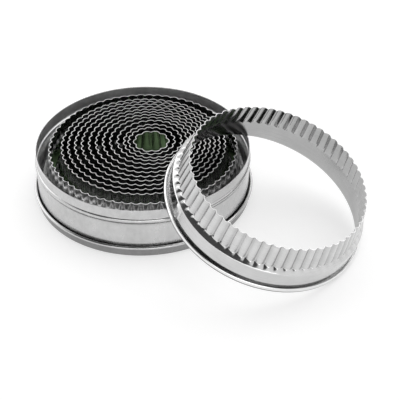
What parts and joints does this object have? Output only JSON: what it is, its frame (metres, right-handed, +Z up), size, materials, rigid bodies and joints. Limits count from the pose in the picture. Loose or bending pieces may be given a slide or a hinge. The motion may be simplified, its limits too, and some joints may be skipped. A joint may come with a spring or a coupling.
{
  "type": "biscuit cutter set",
  "caption": "Graduated round fluted biscuit cutters nested edge up in a shallow tin that stands in its own upturned lid, with one cutter out and leaning on the rim.",
  "frame": {"origin": "middle of the lid's underside, on the tin's axis, at the level of the surface the set stands on", "axes": "+Z up along the tin's axis, +X to the side on which the loose cutter lies, +Y away from the viewer"},
  "size_m": [0.1876, 0.1652, 0.0644],
  "materials": {
    "tin_tinplate": "bright drawn tinplate, satin",
    "cutter_tinplate": "bright rolled tinplate"
  },
  "bodies": {
    "lid": {"tin_lid": "tin_tinplate"},
    "tin": {"tin_body": "tin_tinplate"},
    "cutter_01": {"cutter_01": "cutter_tinplate"},
    "cutter_02": {"cutter_02": "cutter_tinplate"},
    "cutter_03": {"cutter_03": "cutter_tinplate"},
    "cutter_04": {"cutter_04": "cutter_tinplate"},
    "cutter_05": {"cutter_05": "cutter_tinplate"},
    "cutter_06": {"cutter_06": "cutter_tinplate"},
    "cutter_07": {"cutter_07": "cutter_tinplate"},
    "cutter_08": {"cutter_08": "cutter_tinplate"},
    "cutter_09": {"cutter_09": "cutter_tinplate"},
    "cutter_10": {"cutter_10": "cutter_tinplate"},
    "cutter_11": {"cutter_11": "cutter_tinplate"},
    "cutter_12": {"cutter_12": "cutter_tinplate"},
    "cutter_13": {"cutter_13": "cutter_tinplate"},
    "cutter_14": {"cutter_14": "cutter_tinplate"}
  },
  "joints": [
    {"name": "tin_lift", "type": "slide", "parent": "lid", "child": "tin", "axis": [0, 0, 1], "range_m": [0, 0.03]},
    {"name": "cutter_01_lift", "type": "slide", "parent": "tin", "child": "cutter_01", "axis": [0, 0, 1], "range_m": [0, 0.03]},
    {"name": "cutter_02_lift", "type": "slide", "parent": "cutter_01", "child": "cutter_02", "axis": [0, 0, 1], "range_m": [0, 0.03]},
    {"name": "cutter_03_lift", "type": "slide", "parent": "cutter_02", "child": "cutter_03", "axis": [0, 0, 1], "range_m": [0, 0.03]},
    {"name": "cutter_04_lift", "type": "slide", "parent": "cutter_03", "child": "cutter_04", "axis": [0, 0, 1], "range_m": [0, 0.03]},
    {"name": "cutter_05_lift", "type": "slide", "parent": "cutter_04", "child": "cutter_05", "axis": [0, 0, 1], "range_m": [0, 0.03]},
    {"name": "cutter_06_lift", "type": "slide", "parent": "cutter_05", "child": "cutter_06", "axis": [0, 0, 1], "range_m": [0, 0.03]},
    {"name": "cutter_07_lift", "type": "slide", "parent": "cutter_06", "child": "cutter_07", "axis": [0, 0, 1], "range_m": [0, 0.03]},
    {"name": "cutter_08_lift", "type": "slide", "parent": "cutter_07", "child": "cutter_08", "axis": [0, 0, 1], "range_m": [0, 0.03]},
    {"name": "cutter_09_lift", "type": "slide", "parent": "cutter_08", "child": "cutter_09", "axis": [0, 0, 1], "range_m": [0, 0.03]},
    {"name": "cutter_10_lift", "type": "slide", "parent": "cutter_09", "child": "cutter_10", "axis": [0, 0, 1], "range_m": [0, 0.03]},
    {"name": "cutter_11_lift", "type": "slide", "parent": "cutter_10", "child": "cutter_11", "axis": [0, 0, 1], "range_m": [0, 0.03]},
    {"name": "cutter_12_lift", "type": "slide", "parent": "cutter_11", "child": "cutter_12", "axis": [0, 0, 1], "range_m": [0, 0.03]},
    {"name": "cutter_14_lift", "type": "slide", "parent": "cutter_12", "child": "cutter_14", "axis": [0, 0, 1], "range_m": [0, 0.03]},
    {"name": "cutter_13_lift", "type": "slide", "parent": "cutter_14", "child": "cutter_13", "axis": [0, 0, 1], "range_m": [0, 0.03]}
  ]
}
